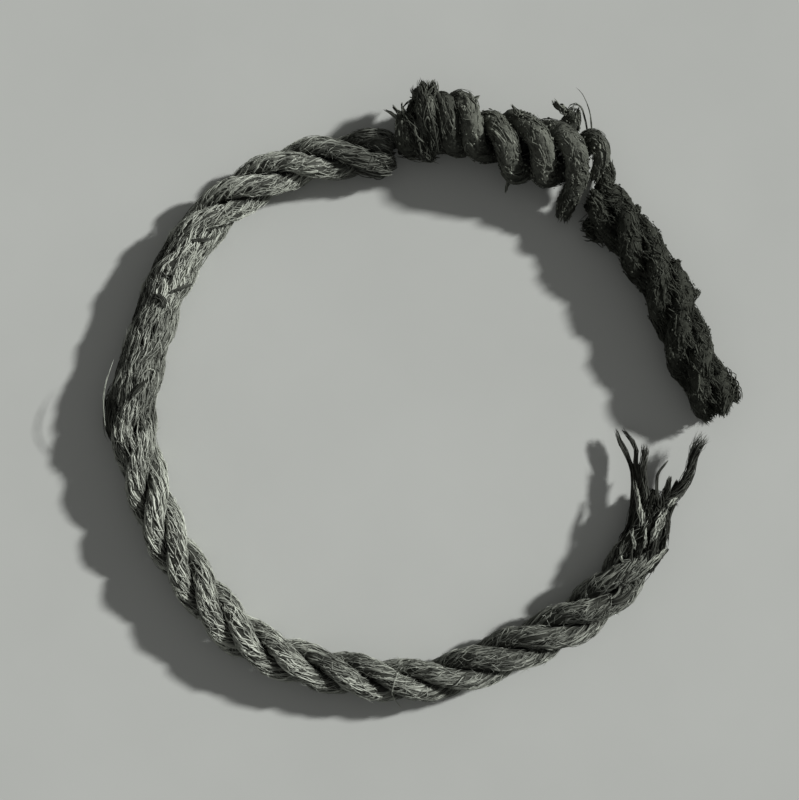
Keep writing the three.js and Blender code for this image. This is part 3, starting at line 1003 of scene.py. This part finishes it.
def dirty_strand(body, line, rng, dense, lean, reach, yarns, soil_and_painted_light=None):
    """A dark strand: short matted fibres and dried dirt all over a lumpy, gritty heart."""
    line.swollen(rng, 0.03)
    heart(body, line, rng, share=0.88, lumps=0.07, grit=0.045, step=0.8 * MM, sides=36, tone=0.4, soil_and_painted_light=soil_and_painted_light)
    common = {"lean": lean, "reach": reach, "yarns": yarns, "soil_and_painted_light": soil_and_painted_light}
    cover(body, line, rng, round(120 * dense), leaning=12, half=(3, 7), wide=(1.0, 2.05), flat=0.45,
          proud=(-0.6, 0.1), sunk=(0.2, 0.9), tone=(0.3, 0.8), **common)
    cover(body, line, rng, round(440 * dense), leaning=20, half=(2, 6), wide=(0.38, 0.98), flat=0.6,
          proud=(-0.4, 0.4), sunk=(0.1, 1.0), tone=(0.3, 1.0), ripple=0.12, **common)
    cover(body, line, rng, round(280 * dense), leaning=36, half=(1.5, 4.5), wide=(0.2, 0.42), flat=0.9,
          proud=(-0.2, 0.6), sunk=(-0.3, 0.9), tone=(0.3, 1.1), steps=6, ripple=0.15, **common)
    crumbs(body, line, rng, round(360 * dense), size=(0.3, 1.1), tone=(0.2, 1.2), reach=reach)


# Where each loosened strand is soiled nearly black: distances along it, and how light it is there.
LOOSENED_SOIL = (
    ((0.0, 0.012, 0.022), (0.45, 0.5, 1.0)),
    ((0.0, 0.010, 0.025), (0.55, 0.8, 1.0)),
    ((0.0, 0.025, 0.045, 0.060), (0.5, 0.35, 0.4, 1.0)),
)

loosened_frays = Heap()
rng = np.random.default_rng(51)
for rows in LOOSENED_FRAYS.values():
    if thickest(rows) > BUNDLED:
        loose_yarn(loosened_frays, rows, rng, fibres_for(rows, per_mm=8), wide=(0.3, 0.8), tone=(0.3, 0.9),
                   splay=0.8, stop=0.6)
    else:
        loose_yarn(loosened_frays, rows, rng, 5, wide=(0.25, 0.45), tone=(0.3, 0.7), splay=0.1, core=0.0,
                   stop=0.92)
loosened = []
for k, rows in enumerate(LOOSENED_STRANDS):
    rng = np.random.default_rng(40 + k)
    strand = Route(rows).yarn()
    body = Heap()
    # Painted light and shade: the high crowns are painted paler and the low passes darker; each strand's soil
    # table then darkens its start.
    height_shade_and_soil = np.interp(strand.centre[:, 2], (9 * MM, 21 * MM), (0.3, 1.1))
    height_shade_and_soil = height_shade_and_soil * np.interp(strand.at, *LOOSENED_SOIL[k])
    dirty_strand(body, strand, rng, dense=1.3, lean=-14, reach=180, yarns=9, soil_and_painted_light=(strand.at, height_shade_and_soil))
    piece = body.make(f"loosened_strand_{k + 1}", dark, ["loosened_length"] if k == 0 else [])
    stray(loosened_frays, strand, rng, 150, long=(2, 6), wide=(0.12, 0.3), rise=(0.3, 1.8), lean=-10,
          tone=(0.3, 0.9), reach=180)
    torn_end(loosened_frays, strand, rng, True, 45, out=(0.5, 4), wide=(0.4, 1.1), flare=0.3, tone=(0.3, 0.9))
    torn_end(loosened_frays, strand, rng, False, 35, out=(0.5, 3), wide=(0.4, 1.0), flare=0.3,
             tone=(0.3, 0.9), inside=4)
    loosened.append((piece, strand))
for rows in LOOSENED_MATS:
    loose_yarn(loosened_frays, rows, rng, 50, wide=(0.3, 0.9), tone=(0.05, 0.6), splay=0.5, twist=25)
loosened_ends = loosened_frays.make("loosened_frays", dark)
for k, (piece, strand) in enumerate(loosened):
    [loosened_ends] if k == 0 else []

# ---- Dark length --------------------------------------------------------------------------------

dark_route = Route(DARK_ROUTE)
dark_frays = Heap()
rng = np.random.default_rng(71)
for rows in DARK_FRAYS.values():
    loose_yarn(dark_frays, rows, rng, fibres_for(rows, per_mm=8), wide=(0.3, 0.9), tone=(0.3, 0.9), stop=0.6)
# Matted fibre nearly fills the grooves between the strands.
cover(dark_frays, dark_route.yarn(), rng, 1500, lean=-12, leaning=16, half=(2, 6), wide=(0.25, 0.7), flat=0.7,
      proud=(-3.2, -0.9), sunk=(0.1, 1.2), tone=(0.2, 0.8), reach=125, steps=6, ripple=0.05)
stub = Route(DARK_STUB).yarn()
dirty_strand(dark_frays, stub, rng, dense=0.25, lean=-30, reach=180, yarns=7)
torn_end(dark_frays, stub, rng, False, 40, out=(0.5, 3.5), wide=(0.4, 1.1), flare=0.5, tone=(0.3, 0.9),
         inside=5)
matted_strands = []
for k, strand in enumerate(dark_route.strands(DARK_START)):
    rng = np.random.default_rng(60 + k)
    body = Heap()
    dirty_strand(body, strand, rng, dense=0.85, lean=-36, reach=125, yarns=9)
    piece = body.make(f"dark_strand_{k + 1}", matted, ["dark_length"] if k == 0 else [])
    stray(dark_frays, strand, rng, 110, long=(2, 5), wide=(0.12, 0.3), rise=(0.2, 1.4), lean=-30,
          tone=(0.3, 0.9))
    torn_end(dark_frays, strand, rng, True, 40, out=(0.5, 3.5), wide=(0.5, 1.2), flare=0.3, tone=(0.3, 0.9))
    torn_end(dark_frays, strand, rng, False, 60, out=(0.5, 4), wide=(0.5, 1.2), flare=0.3, tone=(0.3, 0.9))
    matted_strands.append((piece, strand))
dark_ends = dark_frays.make("dark_frays", matted)
for k, (piece, strand) in enumerate(matted_strands):
    [dark_ends] if k == 0 else []
